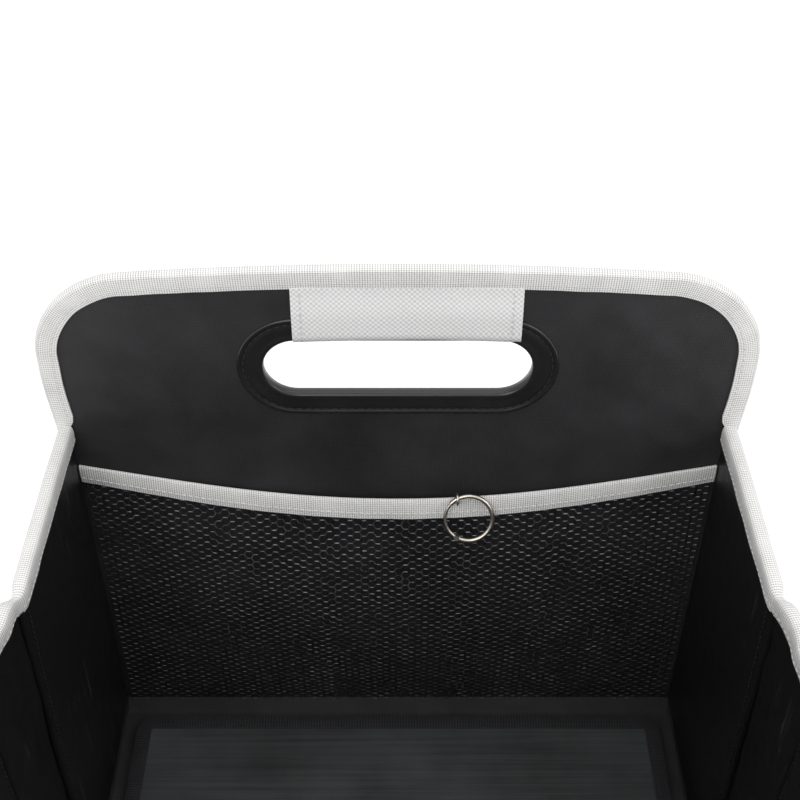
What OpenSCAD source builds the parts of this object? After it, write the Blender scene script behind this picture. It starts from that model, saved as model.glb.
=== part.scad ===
// Foldable open-top tool tote: two tall end panels with carrying slots, low folding side walls,
// a loose base board, a mesh pocket inside one end and a hinged ring on the pocket's edge.
// Origin at the bottom centre, +X across the end panels, +Y towards the end that has the pocket.

/* [Body] */
// Inside width between the two side walls
inner_w = 304; // [240:1:380]
// Inside depth between the two end panels
inner_d = 262; // [230:1:340]
// Height of the side walls
side_h = 212; // [180:1:235]
// Height of the end panels at their middle
end_h = 300; // [290:1:360]
// Corner radius of the end panels, binding included
end_corner_r = 46; // [25:1:60]
// Fall of the end panel's top edge from its middle to its corners
end_crown = 4; // [1:0.5:8]
// How far the end panel's upper part stands out past the side wall, each side
end_flare = 5; // [3:0.5:9]

/* [Panels] */
// Thickness of the fabric on both faces of an end panel
end_fabric_t = 0.6; // [0.4:0.1:1.2]
// Thickness of the end panel's board
end_board_t = 2.2; // [1.6:0.1:3.6]
// Thickness of the fabric on both faces of a side wall
side_fabric_t = 0.8; // [0.6:0.1:1.2]
// Thickness of a side wall's board
side_board_t = 2.4; // [1.8:0.2:3.2]
// Margin of fabric around every board
board_margin = 3; // [2:0.5:6]

/* [Binding] */
// Width of the edge binding on each face
binding_w = 10; // [7:0.5:14]
// Thickness of the edge binding
binding_t = 1; // [0.6:0.1:1.4]

/* [Handle] */
// Width of the hand slot
slot_w = 120; // [95:1:150]
// Height of the hand slot
slot_h = 30; // [26:1:36]
// Height of the hand slot's centre
slot_z = 246; // [240:1:256]
// Width of the bezel's flange around the slot
bezel_w = 12; // [9:0.5:15]
// Thickness of the bezel's flange
bezel_t = 0.8; // [0.6:0.1:1.6]
// Height of the bezel's inner lip over its flange
bezel_lip = 0.4; // [0.2:0.1:0.8]
// Wall of the bezel's collar through the panel
collar_t = 2; // [1.4:0.2:2.6]
// Width of the grip wrap over the bar above the slot
grip_w = 102; // [70:1:112]
// Thickness of the grip wrap
grip_t = 1.2; // [0.8:0.1:2]

/* [Pocket] */
// Height of the pocket's top edge at its ends
pocket_h = 187; // [150:1:200]
// Sag of the pocket's top edge at its middle
pocket_sag = 18; // [6:1:26]
// How far the top edge stands off the end panel at the middle
pocket_mouth = 6.2; // [6:0.2:8]
// How far the mesh stands off the end panel at its fullest
pocket_belly = 15; // [12:0.5:18]
// Height of the fullest place
belly_z = 110; // [90:1:125]
// Thickness of the mesh
mesh_t = 1; // [0.6:0.1:1.4]
// Thickness of the pocket's binding
band_t = 1.8; // [1.4:0.1:2.4]

/* [Fold] */
// Distance from an end panel to the first fold of a side wall
fold_from_end = 103; // [90:1:112]
// Length of the soft return at each corner
corner_return = 10; // [8:0.5:14]
// Gap kept on each side of a fold by the walls
fold_gap = 2.3; // [2:0.1:4]
// Gap kept on each side of a fold by the bindings
fold_gap_binding = 3.5; // [3.2:0.1:5]

/* [Floor] */
// Thickness of the floor fabric
floor_t = 1.2; // [0.8:0.1:2]
// Height of the floor's turned-up rim
rim_h = 6.2; // [5.8:0.1:9]
// Clearance under everything that folds
fold_clear = 0.4; // [0.3:0.1:1]

/* [Base board] */
// Clearance at each side of the base board
pad_side_gap = 7; // [4:0.5:12]
// Clearance behind the base board
pad_back_gap = 12; // [10:0.5:16]
// Clearance in front of the base board
pad_front_gap = 19; // [18:0.5:30]
// Thickness of the base board's core
pad_core_t = 2.2; // [1.6:0.1:2.8]
// Thickness of the base board's cover
pad_cover_t = 0.7; // [0.4:0.1:0.9]
// Thickness of the base board's binding
pad_binding_t = 0.4; // [0.3:0.1:0.6]
// Width of the base board's binding
pad_binding_w = 9; // [6:0.5:12]
// Corner radius of the base board
pad_corner_r = 10; // [6:1:16]

/* [Ring] */
// Outside diameter of the ring
ring_d = 25; // [22:0.5:28]
// Wire diameter of the ring's thick part
ring_wire = 2.2; // [1.8:0.1:2.6]
// Wire diameter of the ring's gate
gate_wire = 1.6; // [1.2:0.1:1.8]
// Distance of the ring from the middle of the pocket
ring_x = 34; // [20:1:60]
// Lean of the ring off the vertical, in degrees
ring_lean = 24; // [16:1:26]
// How far round the ring the link sits from the top, in degrees
link_angle = 29; // [20:1:35]
// Outside diameter of the link
link_d = 6.6; // [6.2:0.1:8]
// Wire diameter of the link
link_wire = 1.1; // [0.8:0.1:1.3]
// Diameter of the gate's pin
pin_d = 1; // [0.8:0.1:1.2]

/* [Hidden] */
$fn = 48;
ENDS = ["back", "front"];
SIDES = ["left", "right"];
END_PARTS = ["outer_fabric", "board", "inner_fabric", "binding", "bezel_inner", "bezel_outer", "grip_wrap"];

black = [0.1, 0.1, 0.105];
lining = [0.07, 0.07, 0.075];
grey_tape = [0.78, 0.78, 0.77];
board_grey = [0.45, 0.43, 0.4];
nickel = [0.78, 0.76, 0.72];

eps = 0.01;
end_t = end_board_t + 2 * end_fabric_t;
end_in = inner_d / 2;
end_out = end_in + end_t;
side_t = side_board_t + 2 * side_fabric_t;
side_mid = inner_w / 2 + side_t / 2;
end_low_hw = inner_w / 2 + side_t + 2;
end_hw = end_low_hw + end_flare - 2;
flare_from = side_h - 2 * binding_w;
flare_to = side_h + 3 * binding_w;
wall_z = rim_h + fold_clear;
hinge_y = end_in - corner_return;
fold_y = end_in - fold_from_end;
wing_l = fold_from_end - corner_return;

panel_slot_w = slot_w + 2 * collar_t;
panel_slot_h = slot_h + 2 * collar_t;
slot_gap = 0.4;
bezel_out = end_t + bezel_t;
grip_gap = 0.2;
grip_face = bezel_t + bezel_lip + grip_gap;
grip_low = slot_z + slot_h / 2 - grip_gap;
grip_slope_z = slot_z + slot_h / 2 + bezel_w + 3;
grip_drop = end_crown * pow(grip_w / 2 / (end_hw - end_corner_r), 2) + 0.3;
grip_top = end_h - binding_w - grip_drop;
grip_foot = (grip_top - grip_slope_z) / 2;

pocket_hw = inner_w / 2 - 2;
pocket_foot = rim_h + 0.2;
pocket_min = (mesh_t + band_t) / 2 + 0.1;
mesh_nx = 24;
mesh_nz = 12;

pad_z = floor_t + 0.2;
pad_t = pad_core_t + 2 * pad_cover_t + 2 * pad_binding_t;
pad_hw = inner_w / 2 - pad_side_gap;
pad_back = end_in - pad_back_gap;
pad_front = -end_in + pad_front_gap;

ring_r = (ring_d - ring_wire) / 2;
link_r = (link_d - link_wire) / 2;
ring_gap = 0.2;
gate_from = 150;
gate_to = 51;
ear_t = 0.6;
eye_r = 1.3;
eye_t = 0.9;
pin_gap = 0.05;

// Share of the pocket's fullness at x: all of it in the middle, none at the side walls
function across(x) = 1 - pow(x / pocket_hw, 2);
function pocket_edge(x) = pocket_h - pocket_sag * across(x);
// How far the mesh's front stands off the end panel at x and z
function fullness(z) = z < belly_z
  ? pocket_belly * (1 - pow((belly_z - z) / (belly_z - pocket_foot), 2))
  : pocket_belly - (pocket_belly - pocket_mouth)
    * pow((z - belly_z) / (pocket_h - pocket_sag - belly_z), 2);
function stand_off(x, z) = pocket_min + max(0, fullness(min(z, pocket_edge(x))) - pocket_min) * across(x);

// The ring's top rests in front of the pocket's binding
band_face = stand_off(ring_x, pocket_h) + band_t / 2;
ring_top = [ring_x, end_in - band_face - ring_wire / 2 - ring_gap, pocket_edge(ring_x) + 3];
ring_c = ring_top + ring_r * [0, -sin(ring_lean), -cos(ring_lean)];
link_c = ring_c + ring_r * [-sin(link_angle), cos(link_angle) * sin(ring_lean), cos(link_angle) * cos(ring_lean)];

// Right half of an end panel's outline, inset from its outermost edge
function end_edge(inset, low) = let (
  hw = end_hw - inset,
  lw = end_low_hw - inset,
  r = end_corner_r - inset,
  top = end_h - inset,
  flat = hw - r
) concat(
  [[lw, low]],
  [for (k = [0:8]) let (t = k / 8, s = 3 * t * t - 2 * t * t * t)
    [lw + (hw - lw) * s, flare_from + (flare_to - flare_from) * t]],
  [for (k = [1:12]) [flat + r * cos(90 * k / 12), top - end_crown - r + r * sin(90 * k / 12)]],
  [for (k = [1:8]) let (x = flat * (1 - k / 8)) [x, top - end_crown * pow(x / flat, 2)]]
);
function flip(points) = [for (k = [len(points) - 2:-1:0]) [-points[k][0], points[k][1]]];
function end_outline(inset, low) = concat(end_edge(inset, low), flip(end_edge(inset, low)));

module stadium(w, h) {
  square([w - h, h], center = true);
  for (s = [-1, 1]) translate([s * (w - h) / 2, 0]) circle(h / 2);
}

// An upright slab between two distances outward from the inner face of an end panel
module upright(from, to) {
  translate([0, end_in + to, 0]) rotate([90, 0, 0]) linear_extrude(to - from) children();
}

// Turns a back end's part into a front end's part
module at_end(e) {
  rotate(e == "back" ? 0 : 180) children();
}

function end_foot(e) = e == "back" ? rim_h : wall_z;

module panel_layer(e, inset, from, to) {
  at_end(e) upright(from, to) difference() {
    polygon(end_outline(inset, end_foot(e) + inset - binding_t));
    translate([0, slot_z]) stadium(panel_slot_w + 2 * slot_gap, panel_slot_h + 2 * slot_gap);
  }
}

module outer_fabric(e) {
  color(black) panel_layer(e, binding_t, end_t - end_fabric_t, end_t);
}

module end_board(e) {
  color(board_grey) panel_layer(e, binding_t + board_margin, end_fabric_t, end_t - end_fabric_t);
}

module inner_fabric(e) {
  color(black) panel_layer(e, binding_t, 0, end_fabric_t);
}

// Tape folded around the panel's edge; below the side wall's top it stays outside the wall
module end_binding(e) {
  color(grey_tape) at_end(e) difference() {
    upright(-binding_t, end_t + binding_t) difference() {
      polygon(end_outline(0, end_foot(e)));
      polygon(end_outline(binding_w, end_foot(e) - 1));
    }
    upright(0, end_t) polygon(end_outline(binding_t, end_foot(e) - 1));
    translate([-inner_w / 2 - side_t, end_in - 2 * binding_t, 0])
      cube([inner_w + 2 * side_t, 2 * binding_t, side_h]);
  }
}

module bezel_inner(e) {
  color(black) at_end(e) translate([0, 0, slot_z]) {
    upright(-bezel_t, 0) difference() {
      stadium(slot_w + 2 * bezel_w, slot_h + 2 * bezel_w);
      stadium(slot_w, slot_h);
    }
    upright(-bezel_t - bezel_lip, -bezel_t) difference() {
      stadium(panel_slot_w + 2, panel_slot_h + 2);
      stadium(slot_w, slot_h);
    }
    upright(0, bezel_out) difference() {
      stadium(panel_slot_w, panel_slot_h);
      stadium(slot_w, slot_h);
    }
  }
}

module bezel_outer(e) {
  color(black) at_end(e) translate([0, 0, slot_z]) {
    upright(end_t, bezel_out) difference() {
      stadium(slot_w + 2 * bezel_w, slot_h + 2 * bezel_w);
      stadium(panel_slot_w, panel_slot_h);
    }
    upright(bezel_out, bezel_out + bezel_lip) difference() {
      stadium(panel_slot_w + 2, panel_slot_h + 2);
      stadium(slot_w, slot_h);
    }
  }
}

// Half-depth of the wrap's section at each height, around the middle of the panel
module grip_section(t, low) {
  near = end_t / 2 + t;
  far = end_t / 2 + grip_face - grip_gap + t;
  polygon([
    [-far, low], [far, low], [far, grip_slope_z], [near, grip_slope_z + grip_foot], [near, grip_top],
    [-near, grip_top], [-near, grip_slope_z + grip_foot], [-far, grip_slope_z]
  ]);
}

// The wrap's lower corners give way to the bezel where the slot's ends curve down
module grip_wrap(e) {
  color(grey_tape) at_end(e) difference() {
    translate([-grip_w / 2, end_in + end_t / 2, 0]) rotate([90, 0, 90]) linear_extrude(grip_w) difference() {
      grip_section(grip_t, grip_low - grip_t);
      grip_section(0, grip_low);
      translate([-end_t / 2, grip_top - 1]) square([end_t, 2]);
    }
    translate([0, 0, slot_z]) upright(-bezel_t - bezel_lip, bezel_out + bezel_lip) difference() {
      stadium(slot_w + 2 * bezel_w, slot_h + 2 * bezel_w);
      stadium(slot_w, slot_h);
    }
  }
}

module corner_strip(e, s) {
  dir = s == "left" ? -1 : 1;
  turn = e == "back" ? 1 : -1;
  color(lining) at_end(e) translate([dir * turn * side_mid, 0, 0])
    translate([-side_t / 2, hinge_y + fold_gap, end_foot(e)])
      cube([side_t, corner_return - fold_gap - binding_t, side_h - end_foot(e)]);
}

// A stretch of side wall between two folds, at the named side
module wall_box(s, y0, y1, gap, inset, z0, z1) {
  dir = s == "left" ? -1 : 1;
  translate([dir * side_mid - side_t / 2 + inset, y0 + gap, z0])
    cube([side_t - 2 * inset, y1 - y0 - 2 * gap, z1 - z0]);
}

module wing_cover(s) {
  color(lining) difference() {
    wall_box(s, fold_y, hinge_y, fold_gap, 0, wall_z, side_h - binding_t);
    wall_box(s, fold_y, hinge_y, fold_gap + board_margin, side_fabric_t,
      wall_z + board_margin, side_h - binding_w - board_margin);
  }
}

module wing_board(s) {
  color(board_grey) wall_box(s, fold_y, hinge_y, fold_gap + board_margin, side_fabric_t,
    wall_z + board_margin, side_h - binding_w - board_margin);
}

module edge_binding(s, y0, y1) {
  color(grey_tape) difference() {
    wall_box(s, y0, y1, fold_gap_binding, -binding_t, side_h - binding_w, side_h);
    wall_box(s, y0, y1, fold_gap, 0, side_h - binding_w - 1, side_h - binding_t);
  }
}

module wing_binding(s) {
  edge_binding(s, fold_y, hinge_y);
}

module gusset_fabric(s) {
  color(lining) wall_box(s, -fold_y, fold_y, fold_gap, 0, wall_z, side_h - binding_t);
}

module gusset_binding(s) {
  edge_binding(s, -fold_y, fold_y);
}

// Mirrors a back stretch of side wall to the front
module at_half(e) {
  mirror([0, e == "back" ? 0 : 1, 0]) children();
}

// A sheet between two surfaces over a grid: columns across, rows up
module sheet(front, back) {
  nx = len(front) - 1;
  nz = len(front[0]) - 1;
  row = nz + 1;
  flat_front = [for (c = front, p = c) p];
  flat_back = [for (c = back, p = c) p];
  n = len(flat_front);
  polyhedron(
    points = concat(flat_front, flat_back),
    faces = concat(
      [for (i = [0:nx - 1], j = [0:nz - 1]) let (a = i * row + j) each [[a, a + 1, a + row + 1], [a, a + row + 1, a + row]]],
      [for (i = [0:nx - 1], j = [0:nz - 1]) let (a = n + i * row + j) each [[a, a + row + 1, a + 1], [a, a + row, a + row + 1]]],
      [for (i = [0:nx - 1]) let (a = i * row) each [[a, a + row, n + a + row], [a, n + a + row, n + a]]],
      [for (i = [0:nx - 1]) let (a = i * row + nz) each [[a, n + a + row, a + row], [a, n + a, n + a + row]]],
      [for (j = [0:nz - 1]) let (a = j) each [[a, n + a + 1, a + 1], [a, n + a, n + a + 1]]],
      [for (j = [0:nz - 1]) let (a = nx * row + j) each [[a, a + 1, n + a + 1], [a, n + a + 1, n + a]]]
    )
  );
}

function mesh_x(i) = pocket_hw * (2 * i / mesh_nx - 1);

module pocket_mesh() {
  grid = [for (i = [0:mesh_nx]) let (x = mesh_x(i), top = pocket_edge(x) - binding_w)
    [for (j = [0:mesh_nz]) [x, pocket_foot + (top - pocket_foot) * j / mesh_nz]]];
  color([0.25, 0.25, 0.26]) sheet(
    [for (c = grid) [for (p = c) [p[0], end_in - stand_off(p[0], p[1]), p[1]]]],
    [for (c = grid) [for (p = c) [p[0], end_in - stand_off(p[0], p[1]) + mesh_t, p[1]]]]
  );
}

module pocket_binding() {
  grid = [for (i = [0:mesh_nx]) let (x = mesh_x(i), top = pocket_edge(x))
    [for (j = [0:2]) [x, top - binding_w * (1 - j / 2)]]];
  shift = (band_t - mesh_t) / 2;
  color(grey_tape) sheet(
    [for (c = grid) [for (p = c) [p[0], end_in - stand_off(p[0], p[1]) - shift, p[1]]]],
    [for (c = grid) [for (p = c) [p[0], end_in - stand_off(p[0], p[1]) + mesh_t + shift, p[1]]]]
  );
}

// Stands the ring's own plane up where it hangs: its centre at the origin, its top along +Y
module on_ring() {
  translate(ring_c) rotate([90 - ring_lean, 0, 0]) children();
}

// A piece of wire from one angle to another, counted left from the ring's top
module arc_wire(d, from, to) {
  rotate(90 + from) rotate_extrude(angle = to - from) translate([ring_r, 0]) circle(d / 2);
}

module at_knuckle() {
  on_ring() rotate(90 + gate_from) translate([ring_r, 0, 0]) children();
}

module ring_link() {
  color(nickel) translate(link_c) rotate([0, 90, 0]) rotate_extrude() translate([link_r, 0]) circle(link_wire / 2);
}

module ring_hoop() {
  color(nickel) difference() {
    union() {
      on_ring() arc_wire(ring_wire, gate_from - 360, gate_to - 1);
      at_knuckle() cylinder(r = eye_r, h = eye_t + 2 * ear_t + 2 * ring_gap, center = true);
    }
    at_knuckle() cylinder(r = eye_r + ring_gap + eps, h = eye_t + 2 * ring_gap, center = true);
    at_knuckle() cylinder(d = pin_d, h = 4 * ring_wire, center = true);
  }
}

module ring_gate() {
  color(nickel) difference() {
    union() {
      on_ring() arc_wire(gate_wire, gate_to + 1, gate_from);
      at_knuckle() cylinder(r = eye_r, h = eye_t, center = true);
    }
    at_knuckle() for (s = [-1, 1]) translate([0, 0, s * (eye_t / 2 + ring_wire)])
      cylinder(r = eye_r + 2 * ring_gap, h = 2 * ring_wire, center = true);
    at_knuckle() cylinder(d = pin_d + 2 * pin_gap, h = 4 * ring_wire, center = true);
  }
}

module ring_pin() {
  color(nickel) at_knuckle() cylinder(d = pin_d, h = eye_t + 2 * ear_t + 2 * ring_gap, center = true);
}

module floor_fabric() {
  outer = [2 * (inner_w / 2 + side_t), 2 * end_out];
  color(black) difference() {
    translate([-outer[0] / 2, -outer[1] / 2, 0]) cube([outer[0], outer[1], rim_h]);
    translate([-inner_w / 2, -end_in, floor_t]) cube([inner_w, inner_d, rim_h]);
  }
}

module pad_outline(inset) {
  w = 2 * (pad_hw - inset);
  l = pad_back - pad_front - 2 * inset;
  r = pad_corner_r - inset;
  translate([0, (pad_back + pad_front) / 2]) {
    square([w - 2 * r, l], center = true);
    square([w, l - 2 * r], center = true);
    for (a = [-1, 1], b = [-1, 1]) translate([a * (w / 2 - r), b * (l / 2 - r)]) circle(r);
  }
}

module pad_slab(inset, up, t) {
  translate([0, 0, pad_z + up]) linear_extrude(t) pad_outline(inset);
}

module base_board_core() {
  color(board_grey) pad_slab(board_margin, pad_binding_t + pad_cover_t, pad_core_t);
}

module base_board_cover() {
  color([0.18, 0.19, 0.2]) difference() {
    pad_slab(pad_binding_t, pad_binding_t, pad_t - 2 * pad_binding_t);
    pad_slab(board_margin, pad_binding_t + pad_cover_t, pad_core_t);
  }
}

module base_board_binding() {
  color(black) difference() {
    pad_slab(0, 0, pad_t);
    pad_slab(pad_binding_w, -1, pad_t + 2);
    pad_slab(pad_binding_t, pad_binding_t, pad_t - 2 * pad_binding_t);
  }
}

for (e = ENDS) {
  outer_fabric(e);
  end_board(e);
  inner_fabric(e);
  end_binding(e);
  bezel_inner(e);
  bezel_outer(e);
  grip_wrap(e);
}
for (e = ENDS, s = SIDES) {
  corner_strip(e, s);
  at_half(e) wing_cover(s);
  at_half(e) wing_board(s);
  at_half(e) wing_binding(s);
}
for (s = SIDES) {
  gusset_fabric(s);
  gusset_binding(s);
}
pocket_mesh();
pocket_binding();
ring_link();
ring_hoop();
ring_gate();
ring_pin();
floor_fabric();
base_board_core();
base_board_cover();
base_board_binding();
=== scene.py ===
import math

import bmesh
import bpy
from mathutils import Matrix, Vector, noise


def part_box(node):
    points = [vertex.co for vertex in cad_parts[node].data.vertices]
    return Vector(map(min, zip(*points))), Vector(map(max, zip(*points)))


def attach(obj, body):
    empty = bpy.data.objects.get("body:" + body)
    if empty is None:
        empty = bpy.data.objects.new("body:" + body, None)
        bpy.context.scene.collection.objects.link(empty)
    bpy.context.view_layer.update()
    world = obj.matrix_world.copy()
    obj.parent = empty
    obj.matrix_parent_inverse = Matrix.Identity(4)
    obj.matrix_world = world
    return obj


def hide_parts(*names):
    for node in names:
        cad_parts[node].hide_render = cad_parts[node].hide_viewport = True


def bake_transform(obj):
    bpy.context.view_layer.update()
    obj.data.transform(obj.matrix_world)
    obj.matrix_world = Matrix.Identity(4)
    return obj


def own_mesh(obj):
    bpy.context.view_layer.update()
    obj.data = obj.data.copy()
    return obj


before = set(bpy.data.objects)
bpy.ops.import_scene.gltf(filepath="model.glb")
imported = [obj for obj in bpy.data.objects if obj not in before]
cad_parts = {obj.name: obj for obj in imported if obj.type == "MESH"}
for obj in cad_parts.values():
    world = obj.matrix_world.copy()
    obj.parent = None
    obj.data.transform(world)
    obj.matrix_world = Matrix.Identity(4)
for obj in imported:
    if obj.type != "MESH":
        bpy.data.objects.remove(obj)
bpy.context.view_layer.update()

ends = ["back", "front"]
sides = ["left", "right"]


def low(node, axis):
    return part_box(node)[0][axis]


def high(node, axis):
    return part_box(node)[1][axis]


endIn = low("back_inner_fabric", 1)        # inner face of the back end panel
endOut = high("back_outer_fabric", 1)      # its outer face
endTop = high("back_binding", 2)
endHalf = high("back_binding", 0)
sideIn = -high("back_wing_cover_left", 0)
sideOut = -low("back_wing_cover_left", 0)
sideMid = (sideIn + sideOut) / 2
endMid, endHalfThick = (endIn + endOut) / 2, (endOut - endIn) / 2
sideTop = high("back_wing_binding_left", 2)
wallFoot = low("back_wing_cover_left", 2)
hingeY = (high("back_wing_cover_left", 1) + low("back_corner_strip_left", 1)) / 2
foldY = (high("gusset_fabric_left", 1) + low("back_wing_cover_left", 1)) / 2
rimTop = high("floor_fabric", 2)
slotZ = (low("back_bezel_inner", 2) + high("back_bezel_inner", 2)) / 2
foldTurn = math.radians(80)                # how far each side fold turns
foldTravel = 2 * (hingeY - foldY) * (1 - math.cos(foldTurn))    # how far the front end comes back then

view = {"place": (0.001, -0.326, 0.617), "down": 40.5, "lens": 59.3}
cam = bpy.data.objects.new("camera", bpy.data.cameras.new("camera"))
bpy.context.collection.objects.link(cam)
cam.location = view["place"]
cam.rotation_euler = (math.radians(90 - view["down"]), 0, 0)
cam.data.lens = view["lens"]
cam.data.sensor_width = 36
cam.data.clip_start = 0.01
bpy.context.scene.camera = cam
print("frame and camera ready")


def smooth(a, b, x):
    t = min(1, max(0, (x - a) / (b - a)))
    return t * t * (3 - 2 * t)


def wave(x, y, z, size, seed=0.0):
    return noise.noise(Vector((x / size + seed, y / size - seed, z / size + 2 * seed)))


def meshPiece(name, points, faces, uvs=None, rounded=True):
    mesh = bpy.data.meshes.new(name)
    mesh.from_pydata([tuple(p) for p in points], [], faces)
    if uvs:
        layer = mesh.uv_layers.new(name="lay")
        for poly, corners in zip(mesh.polygons, uvs):
            for loop, uv in zip(poly.loop_indices, corners):
                layer.data[loop].uv = uv
    for poly in mesh.polygons:
        poly.use_smooth = rounded
    mesh.update()
    piece = bpy.data.objects.new(name, mesh)
    bpy.context.collection.objects.link(piece)
    return piece


def lengths(line, closed=False):
    out = [0.0]
    rest = list(line[1:]) + ([line[0]] if closed else [])
    for a, b in zip(line, rest):
        out.append(out[-1] + (Vector(b) - Vector(a)).length)
    return out


# A surface through rows of points. Each row is one cross-section, and the UV lies flat on the cloth in metres
def skin(name, rows, ring=False, loop=False, caps=False, start=0.0):
    nRow, nCol = len(rows), len(rows[0])
    middle = nCol // 2
    along = lengths([r[middle] for r in rows], loop)
    across = lengths(rows[nRow // 2], ring)
    points = [p for r in rows for p in r]
    faces, uvs = [], []
    for i in range(nRow if loop else nRow - 1):
        for j in range(nCol if ring else nCol - 1):
            a, b = i, (i + 1) % nRow
            c, d = j, (j + 1) % nCol
            faces.append((a * nCol + c, b * nCol + c, b * nCol + d, a * nCol + d))
            u0, u1 = along[i] + start, along[i + 1] + start
            v0, v1 = across[j], across[j + 1]
            uvs.append(((u0, v0), (u1, v0), (u1, v1), (u0, v1)))
    if caps:
        faces.append(tuple(range(nCol)))
        uvs.append([(0, 0)] * nCol)
        faces.append(tuple((nRow - 1) * nCol + j for j in reversed(range(nCol))))
        uvs.append([(0, 0)] * nCol)
    return meshPiece(name, points, faces, uvs)


def crease(piece, degrees=40):
    bm = bmesh.new()
    bm.from_mesh(piece.data)
    bmesh.ops.recalc_face_normals(bm, faces=bm.faces)
    for edge in bm.edges:
        if len(edge.link_faces) == 2 and edge.calc_face_angle(0) > math.radians(degrees):
            edge.smooth = False
    bm.to_mesh(piece.data)
    bm.free()
    return piece


def resample(line, step):
    total = lengths(line)
    n = max(2, round(total[-1] / step))
    out, k = [], 0
    for i in range(n + 1):
        s = total[-1] * i / n
        while k < len(total) - 2 and total[k + 1] < s:
            k += 1
        t = (s - total[k]) / max(1e-9, total[k + 1] - total[k])
        out.append(Vector(line[k]).lerp(Vector(line[k + 1]), min(1, max(0, t))))
    return out


# A row of machine stitches along a line: each one a small pillow of thread that dips at its ends
stitch = {"length": 0.0026, "gap": 0.0006, "width": 0.00055, "height": 0.00028, "rings": 5, "sides": 6}


def stitchRow(name, line, up, length=None):
    length = length or stitch["length"]
    marks = resample(line, length + stitch["gap"])
    points, faces = [], []
    for a, b in zip(marks, marks[1:]):
        mid, run = (a + b) / 2, (b - a)
        if run.length < 1e-6:
            continue
        run.normalize()
        n = (up(mid) if callable(up) else Vector(up)).normalized()
        side = n.cross(run).normalized()
        base = len(points)
        rings, sideCount = stitch["rings"], stitch["sides"]
        for k in range(rings):
            t = k / (rings - 1) * 2 - 1
            fat = math.sqrt(max(0.06, 1 - t * t))
            centre = mid + run * (t * length / 2) + n * (stitch["height"] * (0.9 * fat - 0.35))
            for m in range(sideCount):
                ang = 2 * math.pi * m / sideCount
                points.append(centre + side * (math.cos(ang) * stitch["width"] / 2 * fat)
                              + n * (math.sin(ang) * stitch["height"] * 0.8 * fat))
        for k in range(rings - 1):
            for m in range(sideCount):
                q, after = base + k * sideCount, (m + 1) % sideCount
                faces.append((q + m, q + after, q + sideCount + after, q + sideCount + m))
        faces.append(tuple(base + m for m in reversed(range(sideCount))))
        faces.append(tuple(base + (rings - 1) * sideCount + m for m in range(sideCount)))
    return meshPiece(name, points, faces)


# The pocket's sizes come first, because the net's cells also set its material
pocket = {"half": 0.1515, "edge": 0.187, "sag": 0.018, "mouth": 0.0062, "belly": 0.015, "bellyZ": 0.110,
          "least": 0.0015, "cellWide": 0.0045, "cellTall": 0.0045, "thread": 0.00058, "band": 0.0100,
          "slack": 0.0011, "seamUp": 0.0031, "columns": 150}


def colour(hexCode):
    parts = [int(hexCode[i:i + 2], 16) / 255 for i in (1, 3, 5)]
    return tuple(c / 12.92 if c <= 0.04045 else ((c + 0.055) / 1.055) ** 2.4 for c in parts) + (1.0,)


# Gives a node its inputs. A value that is another node's output is linked, and any other is set
def feed(tree, node, inputs):
    for key, value in inputs.items():
        if isinstance(key, int):
            socket = node.inputs[key]
        else:
            socket = next(i for i in node.inputs if i.name == key and i.enabled)
        if isinstance(value, bpy.types.NodeSocket):
            tree.links.new(value, socket)
        else:
            socket.default_value = value


def add(tree, kind, inputs=None, **settings):
    node = tree.nodes.new(kind)
    for key, value in settings.items():
        setattr(node, key, value)
    feed(tree, node, inputs or {})
    return node


def newMaterial(name):
    mat = bpy.data.materials.new(name)
    mat.use_nodes = True
    return mat, mat.node_tree, mat.node_tree.nodes["Principled BSDF"]


# Two waves that cross, as the threads of a weave do
def crossWaves(tree, a, b, pitchA, pitchB):
    waves = []
    for along, pitch in ((a, pitchA), (b, pitchB)):
        turn = add(tree, "ShaderNodeMath", {0: along, 1: math.pi / pitch}, operation="MULTIPLY").outputs[0]
        waves.append(add(tree, "ShaderNodeMath", {0: turn}, operation="SINE").outputs[0])
    return waves


# Woven polyester, dyed black: matt, with a fine plain weave that only shows close up, its low points painted
# darker as painted shade
def polyesterBlack():
    pitch = 0.0008
    mat, tree, shader = newMaterial("woven polyester black")
    coord = add(tree, "ShaderNodeTexCoord").outputs["Object"]
    xyz = add(tree, "ShaderNodeSeparateXYZ", {0: coord}).outputs
    warp, weft = crossWaves(tree, xyz["X"], xyz["Z"], pitch, pitch)
    over = add(tree, "ShaderNodeMath", {0: warp, 1: weft}, operation="MULTIPLY").outputs[0]
    weave = add(tree, "ShaderNodeMath", {0: over}, operation="ABSOLUTE").outputs[0]
    dust = add(tree, "ShaderNodeTexNoise",
               {"Vector": coord, "Scale": 22.0, "Detail": 4.0, "Roughness": 0.6}).outputs["Fac"]
    # Colour: random dust tone, plus painted shade that darkens the low points of the weave
    toneAndShade = add(tree, "ShaderNodeMath", {0: weave, 1: 0.45, 2: dust}, operation="MULTIPLY_ADD").outputs[0]
    tint = add(tree, "ShaderNodeMapRange",
               {"Value": toneAndShade, "From Min": 0.3, "From Max": 1.1}).outputs["Result"]
    shade = add(tree, "ShaderNodeMix",
                {"Factor": tint, "A": colour("#151516"), "B": colour("#373739")}, data_type="RGBA")
    relief = add(tree, "ShaderNodeBump", {"Height": weave, "Strength": 0.5, "Distance": 0.00015})
    feed(tree, shader, {"Base Color": shade.outputs["Result"], "Normal": relief.outputs["Normal"],
                        "Roughness": 0.62, "Specular IOR Level": 0.22, "Sheen Weight": 0.03})
    return mat


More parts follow.
